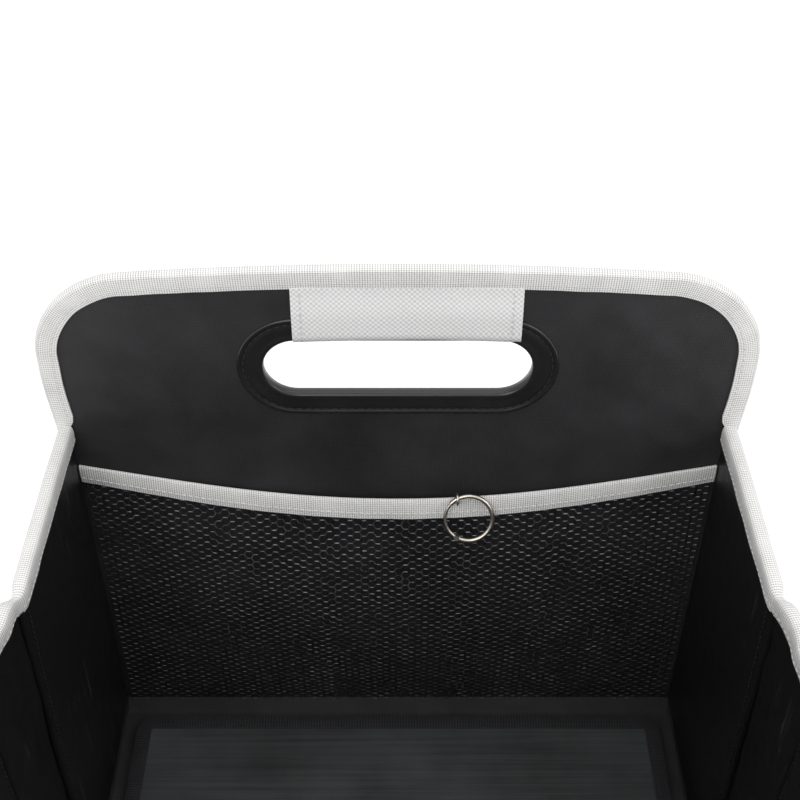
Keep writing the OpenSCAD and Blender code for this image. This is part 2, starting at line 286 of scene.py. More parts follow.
# Polyurethane-coated polyester lining: near black and smooth, with pale vertical rub marks
def coatedLining():
    mat, tree, shader = newMaterial("coated polyester lining")
    coord = add(tree, "ShaderNodeTexCoord").outputs["Object"]
    stretched = add(tree, "ShaderNodeMapping", {"Vector": coord, "Scale": (190, 190, 11)}).outputs[0]
    rubs = add(tree, "ShaderNodeTexNoise",
               {"Vector": stretched, "Scale": 1.0, "Detail": 6.0, "Roughness": 0.7}).outputs["Fac"]
    where = add(tree, "ShaderNodeTexNoise", {"Vector": coord, "Scale": 17.0, "Detail": 2.0}).outputs["Fac"]
    patch = add(tree, "ShaderNodeMapRange",
                {"Value": where, "From Min": 0.5, "From Max": 0.72}).outputs["Result"]
    line = add(tree, "ShaderNodeMapRange",
               {"Value": rubs, "From Min": 0.55, "From Max": 0.75}).outputs["Result"]
    rub = add(tree, "ShaderNodeMath", {0: patch, 1: line}, operation="MULTIPLY").outputs[0]
    shade = add(tree, "ShaderNodeMix",
                {"Factor": rub, "A": colour("#151516"), "B": colour("#626264")}, data_type="RGBA")
    grain = add(tree, "ShaderNodeTexNoise", {"Vector": coord, "Scale": 1300.0, "Detail": 2.0}).outputs["Fac"]
    crumple = add(tree, "ShaderNodeTexNoise", {"Vector": coord, "Scale": 55.0, "Detail": 3.0}).outputs["Fac"]
    height = add(tree, "ShaderNodeMath", {0: crumple, 1: 12.0, 2: grain}, operation="MULTIPLY_ADD").outputs[0]
    relief = add(tree, "ShaderNodeBump", {"Height": height, "Strength": 0.4, "Distance": 0.0002})
    feed(tree, shader, {"Base Color": shade.outputs["Result"], "Normal": relief.outputs["Normal"],
                        "Roughness": 0.42, "Specular IOR Level": 0.35})
    return mat


# Woven tape with weft ribs across it: rows of small bumps that give the eye its direction, with painted shade
# in the grooves between the ribs
def ribbedTape(name, dark, light, rib=0.0011):
    mat, tree, shader = newMaterial(name)
    uv = add(tree, "ShaderNodeTexCoord").outputs["UV"]
    xyz = add(tree, "ShaderNodeSeparateXYZ", {0: uv}).outputs
    waveA, waveB = crossWaves(tree, xyz["X"], xyz["Y"], rib, rib * 0.9)
    ribs = add(tree, "ShaderNodeMath", {0: waveA}, operation="ABSOLUTE").outputs[0]
    picks = add(tree, "ShaderNodeMath", {0: waveB}, operation="ABSOLUTE").outputs[0]
    height = add(tree, "ShaderNodeMix", {"Factor": 0.4, "A": ribs, "B": picks}).outputs["Result"]
    worn = add(tree, "ShaderNodeTexNoise", {"Vector": uv, "Scale": 70.0, "Detail": 3.0}).outputs["Fac"]
    # Colour: random tone from the worn noise, plus painted shade that darkens the low parts of the ribs
    toneAndShade = add(tree, "ShaderNodeMath", {0: worn, 1: 0.4, 2: height}, operation="MULTIPLY_ADD").outputs[0]
    tint = add(tree, "ShaderNodeMapRange",
               {"Value": toneAndShade, "From Min": 0.35, "From Max": 1.0}).outputs["Result"]
    shade = add(tree, "ShaderNodeMix",
                {"Factor": tint, "A": colour(dark), "B": colour(light)}, data_type="RGBA")
    relief = add(tree, "ShaderNodeBump", {"Height": height, "Strength": 0.7, "Distance": 0.0003})
    feed(tree, shader, {"Base Color": shade.outputs["Result"], "Normal": relief.outputs["Normal"],
                        "Roughness": 0.7, "Specular IOR Level": 0.2, "Sheen Weight": 0.04})
    return mat


# Basket-weave oxford: pairs of threads cross pairs, so it shows small square blocks
def oxfordGrey():
    pitch = 0.0012
    mat, tree, shader = newMaterial("oxford basket weave grey")
    uv = add(tree, "ShaderNodeTexCoord").outputs["UV"]
    xyz = add(tree, "ShaderNodeSeparateXYZ", {0: uv}).outputs
    warp, weft = crossWaves(tree, xyz["X"], xyz["Y"], pitch, pitch)
    over = add(tree, "ShaderNodeMath", {0: warp, 1: weft}, operation="MULTIPLY").outputs[0]
    height = add(tree, "ShaderNodeMapRange",
                 {"Value": over, "From Min": -0.8, "From Max": 0.8}).outputs["Result"]
    shade = add(tree, "ShaderNodeMix",
                {"Factor": height, "A": colour("#c2c1c1"), "B": colour("#e6e5e5")}, data_type="RGBA")
    relief = add(tree, "ShaderNodeBump", {"Height": height, "Strength": 0.45, "Distance": 0.0002})
    feed(tree, shader, {"Base Color": shade.outputs["Result"], "Normal": relief.outputs["Normal"],
                        "Roughness": 0.75, "Specular IOR Level": 0.2, "Sheen Weight": 0.04})
    return mat


# Injection-moulded ABS with a fine spark texture: black, with long soft highlights on its rims
def mouldedBlack():
    mat, tree, shader = newMaterial("moulded abs black")
    coord = add(tree, "ShaderNodeTexCoord").outputs["Object"]
    grain = add(tree, "ShaderNodeTexNoise", {"Vector": coord, "Scale": 1800.0, "Detail": 2.0}).outputs["Fac"]
    wear = add(tree, "ShaderNodeTexNoise", {"Vector": coord, "Scale": 40.0, "Detail": 4.0}).outputs["Fac"]
    shade = add(tree, "ShaderNodeMix",
                {"Factor": wear, "A": colour("#171718"), "B": colour("#29292a")}, data_type="RGBA")
    rough = add(tree, "ShaderNodeMath", {0: wear, 1: 0.12, 2: 0.2}, operation="MULTIPLY_ADD").outputs[0]
    relief = add(tree, "ShaderNodeBump", {"Height": grain, "Strength": 0.1, "Distance": 0.0001})
    feed(tree, shader, {"Base Color": shade.outputs["Result"], "Normal": relief.outputs["Normal"],
                        "Roughness": rough, "IOR": 1.53, "Specular IOR Level": 0.4})
    return mat


# Knitted polyester net: the doubled bars of each cell get a painted highlight in light grey, and the single
# threads stay black
def nettedBlack():
    mat, tree, shader = newMaterial("knitted net charcoal")
    coord = add(tree, "ShaderNodeTexCoord").outputs["Object"]
    x = add(tree, "ShaderNodeSeparateXYZ", {0: coord}).outputs["X"]
    moved = add(tree, "ShaderNodeMath", {0: x, 1: pocket["half"]}, operation="ADD").outputs[0]
    cells = add(tree, "ShaderNodeMath",
                {0: moved, 1: 1 / (pocket["cellWide"] * 0.75)}, operation="MULTIPLY").outputs[0]
    near = add(tree, "ShaderNodeMath", {0: cells, 1: 0.5}, operation="PINGPONG").outputs[0]
    # Painted highlight: the level bars are picked by their place across the net and mixed towards the light
    # grey
    barShine = add(tree, "ShaderNodeMapRange",
              {"Value": near, "From Min": 0.36, "From Max": 0.2}).outputs["Result"]
    fibre = add(tree, "ShaderNodeTexNoise", {"Vector": coord, "Scale": 2500.0, "Detail": 2.0}).outputs["Fac"]
    shade = add(tree, "ShaderNodeMix",
                {"Factor": barShine, "A": colour("#29292b"), "B": colour("#8c8c90")}, data_type="RGBA")
    relief = add(tree, "ShaderNodeBump", {"Height": fibre, "Strength": 0.3, "Distance": 0.0001})
    feed(tree, shader, {"Base Color": shade.outputs["Result"], "Normal": relief.outputs["Normal"],
                        "Roughness": 0.5, "Specular IOR Level": 0.3})
    return mat


# Nickel-plated steel wire: warm bright metal with faint drawing lines
def nickelPlate():
    mat, tree, shader = newMaterial("nickel plated steel")
    coord = add(tree, "ShaderNodeTexCoord").outputs["Object"]
    drawn = add(tree, "ShaderNodeTexNoise", {"Vector": coord, "Scale": 900.0, "Detail": 3.0}).outputs["Fac"]
    shade = add(tree, "ShaderNodeMix",
                {"Factor": drawn, "A": colour("#b3ab9e"), "B": colour("#dcd7cd")}, data_type="RGBA")
    rough = add(tree, "ShaderNodeMath", {0: drawn, 1: 0.14, 2: 0.26}, operation="MULTIPLY_ADD").outputs[0]
    feed(tree, shader, {"Base Color": shade.outputs["Result"], "Metallic": 1.0, "Roughness": rough})
    return mat


# Pressed fibre board: brown-grey, with short fibres
def fibreBoard():
    mat, tree, shader = newMaterial("pressed fibre board")
    coord = add(tree, "ShaderNodeTexCoord").outputs["Object"]
    fibre = add(tree, "ShaderNodeTexNoise", {"Vector": coord, "Scale": 300.0, "Detail": 6.0}).outputs["Fac"]
    shade = add(tree, "ShaderNodeMix",
                {"Factor": fibre, "A": colour("#5f5546"), "B": colour("#8d806b")}, data_type="RGBA")
    relief = add(tree, "ShaderNodeBump", {"Height": fibre, "Strength": 0.3, "Distance": 0.0003})
    feed(tree, shader, {"Base Color": shade.outputs["Result"], "Normal": relief.outputs["Normal"],
                        "Roughness": 0.85})
    return mat


# Dark grey coated cover: fine threads run across the board, under cloudy handling marks
def coverCloth():
    pitch = 0.0009
    mat, tree, shader = newMaterial("woven cover dark grey")
    coord = add(tree, "ShaderNodeTexCoord").outputs["Object"]
    y = add(tree, "ShaderNodeSeparateXYZ", {0: coord}).outputs["Y"]
    turn = add(tree, "ShaderNodeMath", {0: y, 1: math.pi / pitch}, operation="MULTIPLY").outputs[0]
    swing = add(tree, "ShaderNodeMath", {0: turn}, operation="SINE").outputs[0]
    thread = add(tree, "ShaderNodeMath", {0: swing}, operation="ABSOLUTE").outputs[0]
    drawn = add(tree, "ShaderNodeMapping", {"Vector": coord, "Scale": (8, 420, 8)}).outputs[0]
    slub = add(tree, "ShaderNodeTexNoise", {"Vector": drawn, "Scale": 1.0, "Detail": 3.0}).outputs["Fac"]
    marks = add(tree, "ShaderNodeTexNoise",
                {"Vector": coord, "Scale": 16.0, "Detail": 5.0, "Roughness": 0.55}).outputs["Fac"]
    lines = add(tree, "ShaderNodeMath", {0: slub, 1: 0.6, 2: marks}, operation="MULTIPLY_ADD").outputs[0]
    tint = add(tree, "ShaderNodeMapRange",
               {"Value": lines, "From Min": 0.55, "From Max": 1.1}).outputs["Result"]
    shade = add(tree, "ShaderNodeMix",
                {"Factor": tint, "A": colour("#2b2c2d"), "B": colour("#4e5051")}, data_type="RGBA")
    relief = add(tree, "ShaderNodeBump", {"Height": thread, "Strength": 0.35, "Distance": 0.00015})
    feed(tree, shader, {"Base Color": shade.outputs["Result"], "Normal": relief.outputs["Normal"],
                        "Roughness": 0.5, "Specular IOR Level": 0.3})
    return mat


# Spun polyester sewing thread: matt, with a fine ply that breaks up the light on each stitch
def threadOf(name, hexCode):
    mat, tree, shader = newMaterial(name)
    coord = add(tree, "ShaderNodeTexCoord").outputs["Object"]
    ply = add(tree, "ShaderNodeTexNoise", {"Vector": coord, "Scale": 3000.0, "Detail": 2.0}).outputs["Fac"]
    relief = add(tree, "ShaderNodeBump", {"Height": ply, "Strength": 0.3, "Distance": 0.0001})
    feed(tree, shader, {"Base Color": colour(hexCode), "Normal": relief.outputs["Normal"],
                        "Roughness": 0.6, "Specular IOR Level": 0.25})
    return mat


shellCloth = polyesterBlack()
liningCloth = coatedLining()
greyTape = ribbedTape("ribbed tape light grey", "#8a8988", "#e0dfde")
blackTape = ribbedTape("ribbed tape black", "#040404", "#343437", 0.0015)
gripCloth = oxfordGrey()
bezelPlastic = mouldedBlack()
netCord = nettedBlack()
nickel = nickelPlate()
board = fibreBoard()
padCloth = coverCloth()
greyThread = threadOf("sewing thread light grey", "#c9c8c7")
blackThread = threadOf("sewing thread black", "#2a2a2c")
print("materials ready")


def finishPiece(piece, mat, body=None, replaced=(), blended=None, squashed=None):
    piece.data.materials.clear()
    piece.data.materials.append(mat)
    if blended:
        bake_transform(piece)
    elif squashed:
        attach(piece, "back_end")
        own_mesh(piece)
    else:
        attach(piece, body)
    if replaced:
        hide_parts(*replaced)
    return piece


endShape = {"cornerR": 0.046, "crown": 0.004, "lowHalf": 0.158, "flareFrom": 0.192, "flareTo": 0.242,
            "tapeWide": 0.010, "tapeThick": 0.001, "tapePuff": 0.0003, "tapeNose": 0.0022, "ripple": 0.00025,
            "seamIn": 0.0026, "wrinkle": 0.0011, "layers": 34}


# Right half of the panel's outline, from the foot up and over to the middle, inset from its outermost edge
def endEdge(inset, foot):
    s = endShape
    hw, lw = endHalf - inset, s["lowHalf"] - inset
    r, top = s["cornerR"] - inset, endTop - inset
    flat = hw - r
    line = [(lw, foot)]
    line += [(lw, foot + (s["flareFrom"] - foot) * k / 12) for k in range(1, 12)]
    for k in range(11):
        t = k / 10
        line.append((lw + (hw - lw) * smooth(0, 1, t), s["flareFrom"] + (s["flareTo"] - s["flareFrom"]) * t))
    for k in range(1, 19):
        a = math.radians(90 * k / 18)
        line.append((flat + r * math.cos(a), top - s["crown"] - r + r * math.sin(a)))
    for k in range(1, 13):
        x = flat * (1 - k / 12)
        line.append((x, top - s["crown"] * (x / flat) ** 2))
    return line


def endOutline(inset, foot):
    right = endEdge(inset, foot)
    return right + [(-x, z) for x, z in reversed(right[:-1])]


slotHole = {"wide": 0.120, "high": 0.030, "collar": 0.0024}


def slotRing(grow, steps):
    halfW, halfH = slotHole["wide"] / 2 + grow, slotHole["high"] / 2 + grow
    flat = halfW - halfH
    arc, straight = math.pi * halfH, 2 * flat
    total = 2 * (arc + straight)
    out = []
    for k in range(steps):
        s = total * k / steps
        if s < arc:
            a = -math.pi / 2 + s / halfH
            out.append((flat + halfH * math.cos(a), slotZ + halfH * math.sin(a)))
        elif s < arc + straight:
            out.append((flat - (s - arc), slotZ + halfH))
        elif s < 2 * arc + straight:
            a = math.pi / 2 + (s - arc - straight) / halfH
            out.append((-flat + halfH * math.cos(a), slotZ + halfH * math.sin(a)))
        else:
            out.append((-flat + (s - 2 * arc - straight), slotZ - halfH))
    return out


def onSlot(angle, grow):
    halfW, halfH = slotHole["wide"] / 2 + grow, slotHole["high"] / 2 + grow
    flat = halfW - halfH
    dx, dz = math.cos(angle), math.sin(angle)
    if abs(dz) > 1e-9 and abs(dx / dz * halfH) <= flat:
        t = halfH / abs(dz)
    else:
        c = math.copysign(flat, dx)
        b = dx * c
        t = b + math.sqrt(max(0, b * b - c * c + halfH * halfH))
    return dx * t, slotZ + dz * t


# Turns a back end's point into that of the named end
def endPoint(e, x, y, z):
    return (x, y, z) if e == "back" else (-x, -y, z)


def endBody(e):
    return "back_end" if e == "back" else "front_end"


def endFoot(e):
    return rimTop if e == "back" else wallFoot


def faceName(outer):
    return "outer" if outer else "inner"


def panelWrinkle(x, z, seed):
    d = wave(x * 0.7, 0, z, 0.055, seed) + 0.5 * wave(x, 0, z * 0.6, 0.024, seed + 3)
    d += 0.8 * wave(x + z, 0, (z - x) * 0.25, 0.016, seed + 7) * smooth(0.05, 0.14, abs(x))
    edge = smooth(0, 0.02, endHalf - 0.010 - abs(x)) * smooth(0, 0.02, endTop - 0.010 - z)
    return endShape["wrinkle"] * d * edge


def panelFace(e, outer):
    outline = endOutline(endShape["tapeThick"], endFoot(e) + 0.0005)
    outline = [tuple(p)[:2] for p in resample([(x, z, 0) for x, z in outline + [outline[0]]], 0.003)][:-1]
    y0 = endOut if outer else endIn
    sign = 1 if outer else -1
    layers = endShape["layers"]
    thick = high("back_inner_fabric", 1) - endIn
    rows = []
    for x, z in outline:
        angle = math.atan2(z - slotZ, x)
        ix, iz = onSlot(angle, slotHole["collar"])
        row = []
        for k in range(layers + 1):
            t = k / layers
            px, pz = ix + (x - ix) * t, iz + (z - iz) * t
            lift = panelWrinkle(px, pz, 11.0 if outer else 4.0) * smooth(0, 0.15, t) * smooth(1, 0.93, t)
            row.append(endPoint(e, px, y0 + sign * max(-0.0003, lift), pz))
        for k in reversed(range(layers + 1)):
            t = k / layers
            px, pz = ix + (x - ix) * t, iz + (z - iz) * t
            row.append(endPoint(e, px, y0 - sign * thick, pz))
        rows.append(row)
    return crease(skin(f"{e}_panel_{faceName(outer)}_cloth", rows, ring=True, loop=True), 60)


# Tape folded over the panel's edge, as a closed U section swept along the outline
def endTape(e):
    s = endShape
    line = endOutline(0, endFoot(e))
    line = [tuple(p)[:2] for p in resample([(x, z, 0) for x, z in line], 0.0035)]
    rows = []
    for i, (x, z) in enumerate(line):
        a, b = line[max(0, i - 1)], line[min(len(line) - 1, i + 1)]
        run = Vector((b[0] - a[0], 0, b[1] - a[1])).normalized()
        inward = Vector((-run.z, 0, run.x))
        hidden = 1 - smooth(sideTop - 0.012, sideTop + 0.004, z)
        reach = s["tapeWide"] * (1 - hidden) + 0.0012 * hidden
        thick = s["tapeThick"]
        ripple = s["ripple"] * wave(x, 0, z, 0.012, 21)
        profile = []
        for k in range(6):
            puff = s["tapePuff"] * math.sin(math.pi * k / 6)
            profile.append((reach * (1 - k / 6) + ripple, endIn - thick - puff * (1 - hidden)))
        for k in range(7):
            turn = math.pi * k / 6
            nose = s["tapeNose"] - s["tapeNose"] * math.sin(turn)
            profile.append((nose, endMid - (endHalfThick + thick) * math.cos(turn)))
        for k in range(1, 7):
            puff = s["tapePuff"] * math.sin(math.pi * k / 6)
            profile.append((s["tapeWide"] * k / 6 + ripple, endOut + thick + puff))
        profile.append((s["tapeWide"] + ripple, endOut + 0.0001))
        profile.append((thick * 1.5, endOut - 0.0002))
        profile.append((thick * 1.5, endIn + 0.0002))
        profile.append((reach + ripple, endIn - 0.0001))
        rows.append([endPoint(e, x + inward.x * u, y, z + inward.z * u) for u, y in profile])
    tape = crease(skin(f"{e}_edge_tape", rows, ring=True, caps=True), 50)
    seams = []
    for outer in (False, True):
        seam = []
        for i, (x, z) in enumerate(line):
            if not outer and z < sideTop + 0.004:
                continue
            a, b = line[max(0, i - 1)], line[min(len(line) - 1, i + 1)]
            run = Vector((b[0] - a[0], 0, b[1] - a[1])).normalized()
            u = s["tapeWide"] - s["seamIn"]
            y = endOut + s["tapeThick"] + 0.0001 if outer else endIn - s["tapeThick"] - 0.0001
            seam.append(endPoint(e, x - run.z * u, y, z + run.x * u))
        facing = endPoint(e, 0, 1 if outer else -1, 0)
        seams.append(stitchRow(f"{e}_edge_seam_{faceName(outer)}", seam, facing))
    return tape, seams


# The bezel's section: distance out from the slot's edge, and height over the panel's face
bezelSection = [(0.0000, -0.0017), (0.0000, -0.0002), (0.0002, 0.0004), (0.0006, 0.0009), (0.0012, 0.0012),
                (0.0019, 0.0012), (0.0027, 0.0010), (0.0036, 0.0008), (0.0048, 0.0007), (0.0070, 0.0008),
                (0.0080, 0.0007), (0.0086, 0.0005), (0.0092, 0.0004), (0.0098, 0.0005), (0.0102, 0.0008),
                (0.0108, 0.0010), (0.0114, 0.0009), (0.0119, 0.0006), (0.0120, 0.0001), (0.0030, 0.0001),
                (0.0019, -0.0017)]
bezelShape = {"steps": 132, "seamOut": 0.0092, "seamUp": 0.0005, "seamPoints": 240, "stitch": 0.0034}


def bezel(e, outer):
    steps = bezelShape["steps"]
    sign, y0 = (1, endOut) if outer else (-1, endIn)
    rows = [[] for k in range(steps)]
    for grow, up in bezelSection:
        ringPoints = slotRing(grow, steps)
        depth = up if up > 0 else -endHalfThick    # the collar reaches the panel's middle
        for k, (x, z) in enumerate(ringPoints):
            rows[k].append(endPoint(e, x, y0 + sign * depth, z))
    piece = crease(skin(f"{e}_bezel_{faceName(outer)}_shell", rows, ring=True, loop=True), 50)
    seamLine = slotRing(bezelShape["seamOut"], bezelShape["seamPoints"])
    seamLine = [endPoint(e, x, y0 + sign * bezelShape["seamUp"], z) for x, z in seamLine + [seamLine[0]]]
    facing = endPoint(e, 0, sign, 0)
    return piece, stitchRow(f"{e}_bezel_seam_{faceName(outer)}", seamLine, facing, bezelShape["stitch"])


# The wrap over the bar above the slot: down the inner face, under the bar and up the outer face
grip = {"half": 0.050, "thick": 0.0012, "aside": 0.0040, "foldR": 0.005, "overTop": 0.001, "snug": 0.0013,
        "bow": 0.0012, "pucker": 0.00022, "puckerPitch": 0.0032, "columns": 60, "seamIn": 0.004}


def gripWrap(e):
    node = f"{e}_grip_wrap"
    lowZ, topZ = low(node, 2), high(node, 2) + grip["overTop"]
    foldR = grip["foldR"]
    deep = high("back_grip_wrap", 1) - endMid
    snug = endHalfThick + grip["snug"]
    shape = []
    for k in range(15):
        t = k / 14
        out = snug + (deep - snug) * smooth(0.05, 0.62, t)
        shape.append((-out, topZ - (topZ - lowZ - foldR) * t))
    for k in range(1, 12):
        a = math.pi * k / 12
        shape.append((-deep * math.cos(a), lowZ + foldR - foldR * math.sin(a)))
    shape += [(-y, z) for y, z in reversed(shape[:15])]

    inner = []
    for y, z in reversed(shape):
        if abs(y) > 0.002:
            y *= 1 - grip["thick"] / max(abs(y), 0.003)
        inner.append((y, z + (grip["thick"] if z < lowZ + 0.004 else 0)))

    rows = []
    for i in range(grip["columns"] + 1):
        x = grip["half"] * (2 * i / grip["columns"] - 1)
        edge = grip["half"] - abs(x)
        tuck = 1 - 0.35 * (1 - smooth(0, 0.0022, edge))
        pucker = grip["pucker"] * math.sin(edge / grip["puckerPitch"] * 2 * math.pi)
        pucker *= 1 - smooth(0.003, 0.012, edge)
        bow = grip["bow"] * (1 - (x / grip["half"]) ** 2)
        row = []
        for y, z in shape:
            lift = 0.0005 * wave(x, y, z, 0.02, 31) + pucker
            up = bow if z < lowZ + 0.006 else 0
            row.append(endPoint(e, x + grip["aside"], endMid + y * (1 + lift / 0.006), z + up))
        for y, z in inner:
            up = bow if z < lowZ + 0.006 else 0
            row.append(endPoint(e, x + grip["aside"], endMid + y * tuck, z + up))
        rows.append(row)
    wrap = crease(skin(f"{e}_grip_cloth", rows, ring=True, caps=True), 60)

    def facing(p):
        return Vector((0, p.y - math.copysign(endMid, p.y), 0.4 * (p.z - lowZ - 0.012)))

    seams = []
    for hand, x in (("left", grip["seamIn"] - grip["half"]), ("right", grip["half"] - grip["seamIn"])):
        line = [endPoint(e, x + grip["aside"], endMid + y * 1.01, z) for y, z in shape[1:-1]]
        seams.append(stitchRow(f"{e}_grip_seam_{hand}", line, facing))
    return wrap, seams


for e in ends:
    body = endBody(e)
    finishPiece(panelFace(e, False), shellCloth, body, [f"{e}_inner_fabric"])
    finishPiece(panelFace(e, True), shellCloth, body, [f"{e}_outer_fabric"])
    tape, seams = endTape(e)
    finishPiece(tape, greyTape, body, [f"{e}_binding"])
    for seam in seams:
        finishPiece(seam, greyThread, body)
    for outer in (False, True):
        shell, seam = bezel(e, outer)
        finishPiece(shell, bezelPlastic, body, [f"{e}_bezel_{faceName(outer)}"])
        finishPiece(seam, blackThread, body)
    wrap, seams = gripWrap(e)
    finishPiece(wrap, gripCloth, body, [f"{e}_grip_wrap"])
    for seam in seams:
        finishPiece(seam, greyThread, body)
print("end panels ready")


wall = {"gussetStep": 0.0030, "gussetFull": 0.0055, "stiffBow": 0.0003, "crumple": 0.0016, "seamLean": 0.009,
        "half": 0.002, "pinchWide": 0.0035, "pinchDrop": 0.0022, "underTape": 0.0032, "heights": 60,
        "tapeWide": 0.010, "seamUp": 0.0026, "ridgeSteps": 70}
cuts = [endIn - 0.0012, (hingeY + foldY) / 2, 0.0, -(hingeY + foldY) / 2, -endIn + 0.0012]


# How far the wall's middle stands outside its straight plane
def wallBow(y, z, s):
    up = smooth(wallFoot, sideTop * 0.6, z)
    a = abs(y)
    lean = wall["seamLean"] * (1 - z / sideTop)
    inside = smooth(foldY - lean + 0.003, foldY - lean - 0.004, a)
    full = wall["gussetStep"] + (wall["gussetFull"] - wall["gussetStep"]) * (1 - (a / foldY) ** 2)
    soft = (full * (0.25 + 0.75 * up) + wall["crumple"] * (wave(y * 1.6, s, z * 0.5, 0.022, 41)
            + 0.5 * wave(y, s, z * 0.7, 0.010, 47))) * inside
    stiff = wall["stiffBow"] * up * smooth(endIn, hingeY - 0.03, a) * (1 - inside)
    stiff += 0.0003 * wave(y * 0.8, s * 3, z * 0.4, 0.03, 53) * smooth(endIn, hingeY - 0.02, a) * (1 - inside)
    return soft + stiff


# Tape and cloth pinch together at the sewn fold
def pinch(y):
    return math.exp(-((abs(y) - foldY) / wall["pinchWide"]) ** 2)


# The cut corner is sewn flat, so that its two edges nearly clear each other when folded
def cornerThin(y, s):
    return 1 - 0.75 * math.exp(-((y + hingeY) / wall["pinchWide"]) ** 2) if s == "right" else 1


def outward(s):
    return -1 if s == "left" else 1


# Half the thickness of the wall's cloth, and of the tape over its top edge
def clothHalf(y):
    return wall["half"] * (1 - 0.45 * pinch(y))


def tapeHalf(y, s, over):
    return (wall["half"] + over) * (1 - 0.4 * pinch(y)) * (0.4 + 0.6 * cornerThin(y, s))


# A point of the wall, off its middle by a distance and pulled down where the fold is sewn
def wallPoint(y, z, dirX, off):
    drop = wall["pinchDrop"] * pinch(y) * smooth(0.15, 0.2, z)
    return (dirX * (sideMid + wallBow(y, z, dirX) + off), y, z - drop)


def bodiesAlong(s):
    return ["back_end", f"wing_back_{s}", f"gusset_{s}", f"wing_front_{s}", "front_end"]


foldAt = [hingeY, foldY, -foldY, -hingeY]
foldSoft = 0.005
wallNodes = [["back_corner_strip_{}", "back_wing_cover_{}"], ["gusset_fabric_{}"], [],
             ["front_wing_cover_{}", "front_corner_strip_{}"]]
tapeNodes = [["back_wing_binding_{}"], ["gusset_binding_{}"], [], ["front_wing_binding_{}"]]


def stations(y0, y1, step):
    n = max(2, round(abs(y1 - y0) / step))
    return [y0 + (y1 - y0) * k / n for k in range(n + 1)]


def wallCloth(name, s, y0, y1):
    dirX = outward(s)
    topZ, count = sideTop - wall["underTape"], wall["heights"]
    heights = [wallFoot + (topZ - wallFoot) * k / count for k in range(count + 1)]
    rows = []
    for y in stations(y0, y1, 0.0025):
        thin = clothHalf(y) * cornerThin(y, s)
        row = [wallPoint(y, z, dirX, -thin) for z in heights]
        rows.append(row + [wallPoint(y, z, dirX, thin) for z in reversed(heights)])
    return crease(skin(name, rows, ring=True, caps=True), 60)


def sideTape(name, s, y0, y1):
    dirX, wide = outward(s), wall["tapeWide"]
    rows = []
    for y in stations(y0, y1, 0.002):
        half = tapeHalf(y, s, 0.0011)
        ripple = 0.0004 * wave(y, dirX, 0, 0.014, 61)
        # How far each flap stands off the wall, down its width
        flap = [(0.0001, 0.15), (0.0004, 0.4), (0.0003, 0.7), (ripple, 1)]
        profile = [(-half - off, -wide * down) for off, down in reversed(flap)]
        for k in range(1, 8):
            a = math.pi * k / 8
            profile.append((-half * math.cos(a), half * 0.5 * math.sin(a) - 0.0014))
        profile += [(half + off, -wide * down) for off, down in flap]
        profile += [(half - 0.0008, -wide), (half - 0.0009, -0.002)]
        profile += [(-half + 0.0009, -0.002), (-half + 0.0008, -wide)]
        row = []
        for across, up in profile:
            z = sideTop - wall["pinchDrop"] * pinch(y) + up
            row.append((dirX * (sideMid + wallBow(y, min(z, sideTop - 0.002), dirX) + across), y, z))
        rows.append(row)
    tape = crease(skin(name, rows, ring=True, caps=True, start=endIn - y0), 50)
    lines = []
    for sign in (-1, 1):
        line = []
        for y in stations(y0, y1, 0.002):
            z = sideTop - wall["pinchDrop"] * pinch(y) - wide + wall["seamUp"]
            off = sign * (tapeHalf(y, s, 0.0013) + 0.0002)
            line.append((dirX * (sideMid + wallBow(y, z, dirX) + off), y, z))
        lines.append(stitchRow(f"{name}_seam_{faceName(sign > 0)}", line, (dirX * sign, 0, 0)))
    return tape, lines


# The sewn fold: a small ridge of doubled cloth with a row of stitches beside it
def foldRidge(name, s, front):
    dirX, facing = outward(s), -1 if front else 1
    foot, top = wallFoot + 0.002, sideTop - 0.011
    rows, seam = [], []
    for k in range(wall["ridgeSteps"] + 1):
        z = foot + (top - foot) * k / wall["ridgeSteps"]
        y = facing * (foldY - wall["seamLean"] * (1 - z / sideTop))
        x = sideMid + wallBow(y, z, dirX) - clothHalf(y)
        crest = -0.0016 + 0.0004 * wave(y, z, 0, 0.02, 71)
        section = [(-0.0016, 0.0004), (-0.0012, -0.0007), (-0.0002, crest),
                   (0.0008, -0.0010), (0.0016, 0.0004)]
        rows.append([(dirX * (x + up), y + facing * aside, z) for aside, up in section])
        beside = y + facing * 0.0042
        x = sideMid + wallBow(beside, z, dirX) - clothHalf(beside) - 0.0001
        seam.append((dirX * x, beside, z))
    ridge = crease(skin(name, rows, ring=True, caps=True), 80)
    return ridge, stitchRow(f"{name}_stitches", seam, (-dirX, 0, 0))


def putAcross(piece, mat, s, k, replaced=()):
    bodies = bodiesAlong(s)
    a, b = bodies[k], bodies[k + 1]
    y = foldAt[k]
    finishPiece(piece, mat, replaced=[n.format(s) for n in replaced],
                blended=(a, b, (0, y + foldSoft, 0), (0, y - foldSoft, 0)))


